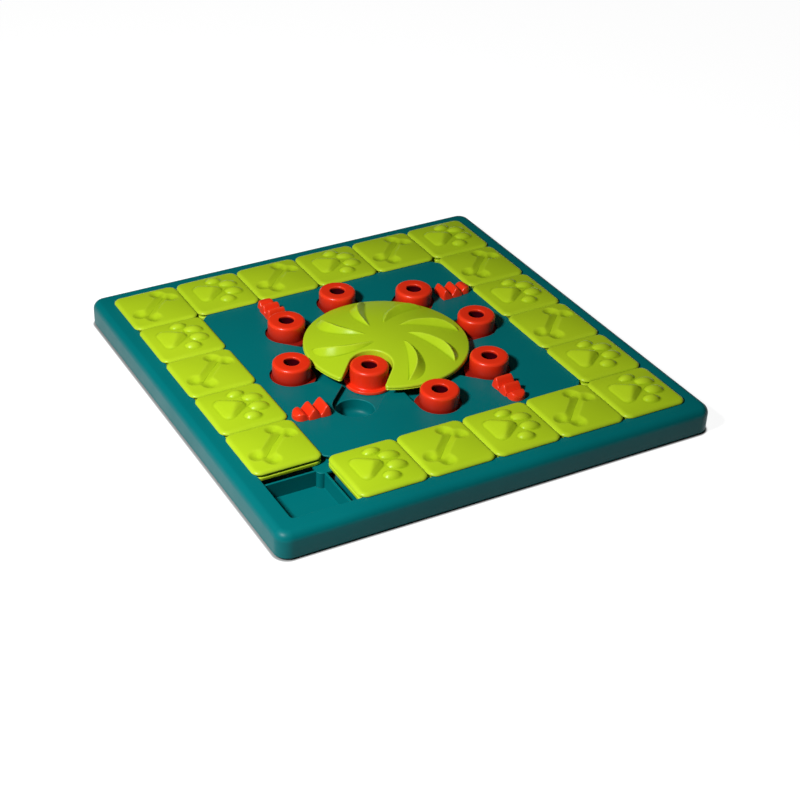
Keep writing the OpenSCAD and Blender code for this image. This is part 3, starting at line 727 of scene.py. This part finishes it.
def handling_and_shade_group():
    """Rubbed edges and darkened hollows: where fingers and paws have rubbed the outer edges, and where dust lodges in
    the hollows and painted shade darkens them.

    Both come from the attribute bend, broken up by a noise so that no edge is rubbed evenly."""
    group, given, made = new_group("Handling and shade", [("Edge bend", "NodeSocketFloat", 900.0),
                                                ("Hollow bend", "NodeSocketFloat", 500.0)],
                                   [("Rubbed", "NodeSocketFloat"), ("Hollow dust and shade", "NodeSocketFloat")])
    bend = group.nodes.new("ShaderNodeAttribute")
    bend.attribute_name = "bend"
    place = group.nodes.new("ShaderNodeTexCoord").outputs["Object"]
    patches = add_node(group, "ShaderNodeTexNoise", Vector=place, Scale=60.0, Detail=4.0)
    patch = add_node(group, "ShaderNodeMapRange", Value=patches.outputs["Fac"], From_Min=0.35, From_Max=0.7,
                     To_Min=0.35, To_Max=1.0)
    edge = add_node(group, "ShaderNodeMath", {"operation": "DIVIDE", "use_clamp": True}, n0=bend.outputs["Fac"],
                    n1=given.outputs["Edge bend"])
    rubbed = add_node(group, "ShaderNodeMath", {"operation": "MULTIPLY"}, n0=edge.outputs[0],
                      n1=patch.outputs["Result"])
    group.links.new(rubbed.outputs[0], made.inputs["Rubbed"])
    # Dust and painted shade: concave places take the hollow colour by how sharply they bend inwards
    under = add_node(group, "ShaderNodeMath", {"operation": "MULTIPLY"}, n0=bend.outputs["Fac"], n1=-1.0)
    hollow = add_node(group, "ShaderNodeMath", {"operation": "DIVIDE", "use_clamp": True}, n0=under.outputs[0],
                      n1=given.outputs["Hollow bend"])
    group.links.new(hollow.outputs[0], made.inputs["Hollow dust and shade"])
    return group


def tint_group():
    """Tint: the slow change of a pigment's depth through a moulding, as a share from 0 to 1."""
    group, given, made = new_group("Tint", [("Size", "NodeSocketFloat", 9.0)], [("Share", "NodeSocketFloat")])
    place = group.nodes.new("ShaderNodeTexCoord").outputs["Object"]
    cloud = add_node(group, "ShaderNodeTexNoise", Vector=place, Scale=given.outputs["Size"], Detail=2.0)
    share = add_node(group, "ShaderNodeMapRange", Value=cloud.outputs["Fac"], From_Min=0.3, From_Max=0.7,
                     To_Min=0.0, To_Max=1.0)
    group.links.new(share.outputs["Result"], made.inputs["Share"])
    return group


GRAIN, HANDLING_AND_SHADE, TINT = grain_group(), handling_and_shade_group(), tint_group()


def use_group(tree, group, **inputs):
    """A node that holds one of the shared groups."""
    node = tree.nodes.new("ShaderNodeGroup")
    node.node_tree = group
    for label, value in inputs.items():
        node.inputs[label.replace("_", " ")].default_value = value
    return node


def colour_mix(tree, share, first, second):
    """The second colour over the first by a share; each may be a colour or a socket."""
    mix = add_node(tree, "ShaderNodeMix", {"data_type": "RGBA"}, n0=share)
    for place, colour in ((6, first), (7, second)):
        if isinstance(colour, bpy.types.NodeSocket):
            tree.links.new(colour, mix.inputs[place])
        else:
            mix.inputs[place].default_value = (*colour, 1.0)
    return mix.outputs[2]


def plastic(name, deep, light, rubbed, hollow, rough, pits=900.0, bump=0.08, specular=0.5, hole=None):
    """Satin moulded plastic: two close pigments, paler rubbed edges, hollows darkened by dust and painted shade,
    grain in bump and roughness.

    A hole colour, a painted shade, fills the parts that the attribute hole marks, where shade falls in the knobs'
    holes and slots."""
    material = bpy.data.materials.new(name)
    material.use_nodes = True
    tree = material.node_tree
    shader = tree.nodes["Principled BSDF"]
    grain = use_group(tree, GRAIN, Pits=pits)
    handling_and_shade = use_group(tree, HANDLING_AND_SHADE)
    tint = use_group(tree, TINT)
    colour = colour_mix(tree, tint.outputs["Share"], deep, light)
    # Hollows darken with dust and painted shade
    colour = colour_mix(tree, handling_and_shade.outputs["Hollow dust and shade"], colour, hollow)
    colour = colour_mix(tree, handling_and_shade.outputs["Rubbed"], colour, rubbed)
    # The hole colour is a painted shade in the knobs' holes and on their feet in the slots
    if hole:
        painted_hole_shade = tree.nodes.new("ShaderNodeAttribute")
        painted_hole_shade.attribute_name = "hole"
        colour = colour_mix(tree, painted_hole_shade.outputs["Fac"], colour, hole)
    tree.links.new(colour, shader.inputs["Base Color"])
    roughness = add_node(tree, "ShaderNodeMapRange", Value=grain.outputs["Roughness"], From_Min=0.0, From_Max=1.0,
                         To_Min=rough[0], To_Max=rough[1])
    worn = add_node(tree, "ShaderNodeMath", {"operation": "MULTIPLY_ADD"}, n0=handling_and_shade.outputs["Rubbed"], n1=-0.06,
                    n2=roughness.outputs["Result"])
    tree.links.new(worn.outputs[0], shader.inputs["Roughness"])
    relief = add_node(tree, "ShaderNodeBump", Strength=bump, Distance=0.0004, Height=grain.outputs["Height"])
    tree.links.new(relief.outputs["Normal"], shader.inputs["Normal"])
    shader.inputs["Specular IOR Level"].default_value = specular
    return material


# The fourth colour of each plastic darkens its hollows, for dust and as painted shade
TEAL = plastic("teal_plastic", (0.0, 0.143, 0.152), (0.0, 0.161, 0.170), (0.01, 0.24, 0.25),
               (0.0, 0.085, 0.092), (0.36, 0.42), specular=0.13)
LIME = plastic("lime_plastic", (0.42, 0.61, 0.012), (0.46, 0.645, 0.014), (0.60, 0.76, 0.06),
               (0.26, 0.42, 0.004), (0.30, 0.36), specular=0.2)
# The red's hole colour is the painted shade for the knobs' holes and feet
RED = plastic("red_plastic", (0.82, 0.028, 0.005), (0.88, 0.034, 0.007), (0.92, 0.08, 0.03),
              (0.50, 0.012, 0.004), (0.28, 0.34), specular=0.35, hole=(0.05, 0.0, 0.004))
RUBBER = plastic("foot_rubber", (0.012, 0.012, 0.013), (0.018, 0.018, 0.019), (0.04, 0.04, 0.04),
                 (0.008, 0.008, 0.008), (0.62, 0.8), pits=1500.0, bump=0.25, specular=0.3)


def steel():
    """Zinc-plated steel: a metal with a fine grain in its bump and patches in its colour and roughness."""
    material = bpy.data.materials.new("screw_steel")
    material.use_nodes = True
    tree = material.node_tree
    shader = tree.nodes["Principled BSDF"]
    grain = use_group(tree, GRAIN, Pits=2500.0, Waves=300.0)
    tint = use_group(tree, TINT, Size=120.0)
    tree.links.new(colour_mix(tree, tint.outputs["Share"], (0.50, 0.50, 0.52), (0.66, 0.66, 0.68)),
                   shader.inputs["Base Color"])
    rough = add_node(tree, "ShaderNodeMapRange", Value=grain.outputs["Roughness"], To_Min=0.24, To_Max=0.42)
    tree.links.new(rough.outputs["Result"], shader.inputs["Roughness"])
    relief = add_node(tree, "ShaderNodeBump", Strength=0.2, Distance=0.0002, Height=grain.outputs["Height"])
    tree.links.new(relief.outputs["Normal"], shader.inputs["Normal"])
    shader.inputs["Metallic"].default_value = 1.0
    return material


STEEL = steel()


# ---------------------------------------------------------------- the object

def ring_place(number):
    """The middle of a place of the ring: they run anticlockwise from the front left corner, which is place 0."""
    side, step = divmod(number, 5)
    along = step * PITCH
    m = RING_MIDDLE
    return [(-m + along, -m), (m, -m + along), (m - along, m), (-m, m - along)][side]


paw_cap, bone_cap, base = tile_cap(paw_relief), tile_cap(bone_relief), tile_base()
for number in range(1, 20):
    x, y = ring_place(number)
    body = f"tile_{number:02d}"
    has_paw = number % 2 == (1 if number < 6 else 0)
    cap = moved(paw_cap if has_paw else bone_cap, x, y)
    add_piece(f"{'paw' if has_paw else 'bone'}_cap_{number:02d}", cap, LIME, body,
              [f"tile_cap_{number:02d}"])
    add_piece(f"base_plate_{number:02d}", moved(base, x, y), LIME, body,
              [f"tile_base_{number:02d}"])

add_piece("vaned_wheel", wheel_skin(), LIME, "wheel", ["swirl_wheel"])
round_knob = knob()
for number in range(1, 9):
    notched = number == NOTCHED_KNOB
    at, lean = (NOTCHED_KNOB_AT, -NOTCHED_KNOB_LEAN) if notched else (KNOB_RING, 0.0)
    turn = math.radians(45 * (number - 1))
    place = (at * math.cos(turn) - lean * math.sin(turn), at * math.sin(turn) + lean * math.cos(turn))
    skin = moved(round_knob, *place)
    piece = add_piece(f"treat_knob_{number}", skin, RED, f"knob_{number}", [f"knob_{number}"])
    # Painted shade in the hole and, on knobs in the deck's slots, on the foot
    mark_field(piece.data, "hole", hole_shade_share(skin[0], place, 0.0 if notched else FOOT_SHADE))

latch = latch_skin()
for number in range(1, 5):
    skin = moved(moved(latch, x=-PITCH), turn=-90.0 * (number - 1))
    add_piece(f"stepped_latch_{number}", skin, RED, f"latch_{number}", [f"latch_{number}"])

add_piece("bezel", frame_skin(), TEAL, "board", ["outer_frame"])
add_bevelled("slotted_deck", "centre_deck", 0.45, TEAL, "board")
add_bevelled("pocket_tray", "track_tray", 0.3, TEAL, "board")
add_bevelled("bowl_tray", "centre_tray", 0.7, TEAL, "board")
add_piece("dished_feet", feet_skin(), RUBBER, "board", ["rubber_feet"])

for name in ("case_screws", "axle_washer", "axle_screw"):
    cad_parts[name].data.materials.clear()
    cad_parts[name].data.materials.append(STEEL)


# ---------------------------------------------------------------- floor, light and camera

# Brightness of the floor in the camera and of the surroundings, and the places of the lamps in metres
FLOOR_GLOW = 0.93
WORLD_LIGHT = 0.022
KEY_AT = (-0.711, -0.271, 0.750)
OVERHEAD_AT = (0.15, 0.55, 1.3)
LAMP_AIM = (0, 0, 0.02)


def outline_distance(tree):
    """Distance of a floor point from the board's outline.

    It is the length of max(|p| - (half - corner), 0), less the corner."""
    place = tree.nodes.new("ShaderNodeTexCoord").outputs["Object"]
    ahead = add_node(tree, "ShaderNodeVectorMath", {"operation": "ABSOLUTE"}, n0=place)
    straight = (BOARD_HALF - BOARD_CORNER) * MM
    beyond = add_node(tree, "ShaderNodeVectorMath", {"operation": "SUBTRACT"}, n0=ahead.outputs[0],
                      n1=(straight, straight, 0.0))
    beyond = add_node(tree, "ShaderNodeVectorMath", {"operation": "MAXIMUM"}, n0=beyond.outputs[0], n1=(0, 0, 0))
    far = add_node(tree, "ShaderNodeVectorMath", {"operation": "LENGTH"}, n0=beyond.outputs[0])
    return add_node(tree, "ShaderNodeMath", {"operation": "SUBTRACT"}, n0=far.outputs["Value"],
                    n1=BOARD_CORNER * MM).outputs[0]


def add_floor():
    """A wide pale floor that curves up into a low wall all round.

    It shows the camera and glass plain white, apart from a faint shadow and a painted contact shade: its glow is held
    back within 2.5 mm of the board's outline, so that a dark line of the grey floor's own shade shows there.
    Gloss sees its flat part white and its wall dark, so that the board's far side isn't greyed."""
    flat, wall, bend = 5000.0, 1500.0, 600.0
    profile = [(flat * share, 0.0) for share in (0.02, 0.04, 0.08, 0.16, 0.4, 0.8)]
    profile += list(map(tuple, arc((flat, bend), bend, -90, 0, 8))) + [(flat + bend, wall)]
    rings = turned_rings(profile, 96)
    rows, columns = rings.shape[:2]
    points = np.concatenate([rings.reshape(-1, 3), np.zeros((1, 3))]) * MM
    here = np.arange(columns)
    middle = np.stack([np.full(columns, rows * columns), here, (here + 1) % columns], -1)
    mesh = bpy.data.meshes.new("floor")
    mesh.from_pydata(points.tolist(), [], strips(rows, columns).tolist() + middle.tolist())
    mesh.shade_smooth()
    material = bpy.data.materials.new("pale_floor")
    material.use_nodes = True
    tree = material.node_tree
    shader = tree.nodes["Principled BSDF"]
    shader.inputs["Base Color"].default_value = (0.3, 0.3, 0.3, 1.0)
    shader.inputs["Roughness"].default_value = 0.9
    shader.inputs["Specular IOR Level"].default_value = 0.1
    glow = add_node(tree, "ShaderNodeEmission", Color=(1.0, 1.0, 1.0, 1.0))
    path = tree.nodes.new("ShaderNodeLightPath")
    height = add_node(tree, "ShaderNodeSeparateXYZ", Vector=tree.nodes.new("ShaderNodeTexCoord").outputs["Object"])
    low = add_node(tree, "ShaderNodeMapRange", Value=height.outputs["Z"], From_Min=0.01, From_Max=0.2, To_Min=1.0,
                   To_Max=0.0)
    gloss = add_node(tree, "ShaderNodeMath", {"operation": "MULTIPLY"}, n0=path.outputs["Is Glossy Ray"],
                     n1=low.outputs["Result"])
    seen = add_node(tree, "ShaderNodeMath", {"operation": "ADD"}, n0=path.outputs["Is Camera Ray"],
                    n1=gloss.outputs[0])
    seen = add_node(tree, "ShaderNodeMath", {"operation": "ADD", "use_clamp": True}, n0=seen.outputs[0],
                    n1=path.outputs["Is Transmission Ray"])
    # Painted contact shade: no glow next to the board's outline, so a dark line shows where it stands
    clear = add_node(tree, "ShaderNodeMapRange", {"interpolation_type": "SMOOTHSTEP"}, Value=outline_distance(tree),
                     From_Min=0.0, From_Max=0.0025, To_Min=0.0, To_Max=FLOOR_GLOW)
    power = add_node(tree, "ShaderNodeMath", {"operation": "MULTIPLY"}, n0=seen.outputs[0],
                     n1=clear.outputs["Result"])
    tree.links.new(power.outputs[0], glow.inputs["Strength"])
    both = tree.nodes.new("ShaderNodeAddShader")
    tree.links.new(shader.outputs[0], both.inputs[0])
    tree.links.new(glow.outputs[0], both.inputs[1])
    tree.links.new(both.outputs[0], tree.nodes["Material Output"].inputs["Surface"])
    mesh.materials.append(material)
    floor = bpy.data.objects.new("floor", mesh)
    bpy.context.scene.collection.objects.link(floor)


def add_lamp(name, place, aim, size, power):
    """A square soft light that faces a point."""
    light = bpy.data.lights.new(name, "AREA")
    light.shape = "SQUARE"
    light.size = size
    light.energy = power
    lamp = bpy.data.objects.new(name, light)
    lamp.location = place
    lamp.rotation_euler = (Vector(aim) - Vector(place)).to_track_quat("-Z", "Y").to_euler()
    bpy.context.scene.collection.objects.link(lamp)
    return lamp


def add_world():
    """Dim plain surroundings."""
    world = bpy.data.worlds.new("studio")
    bpy.context.scene.world = world
    world.use_nodes = True
    back = world.node_tree.nodes["Background"]
    back.inputs["Color"].default_value = (1.0, 1.0, 1.0, 1.0)
    back.inputs["Strength"].default_value = WORLD_LIGHT


def add_camera():
    """The camera: its place is a distance from a target along a turn and a rise."""
    turn, rise, distance = math.radians(-26.1172), math.radians(33.1483), 1.393252
    target = Vector((-0.114597, -0.034453, 0.0243))
    back = Vector((math.sin(turn) * math.cos(rise), -math.cos(turn) * math.cos(rise), math.sin(rise)))
    right = (-back).cross(Vector((0, 0, 1))).normalized()
    up = right.cross(-back)
    camera = bpy.data.objects.new("camera", bpy.data.cameras.new("camera"))
    camera.data.lens = 74.6257
    camera.data.sensor_width = 36.0
    camera.data.shift_x = 0.142269
    camera.matrix_world = Matrix.Translation(target + distance * back) @ Matrix(
        (right, up, back)).transposed().to_4x4()
    bpy.context.scene.collection.objects.link(camera)
    bpy.context.scene.camera = camera


add_floor()
add_lamp("key", KEY_AT, LAMP_AIM, 0.13, 12.0)
add_lamp("overhead", OVERHEAD_AT, LAMP_AIM, 0.9, 0.6).visible_glossy = False
add_world()
add_camera()
bpy.context.scene.view_settings.view_transform = "Standard"
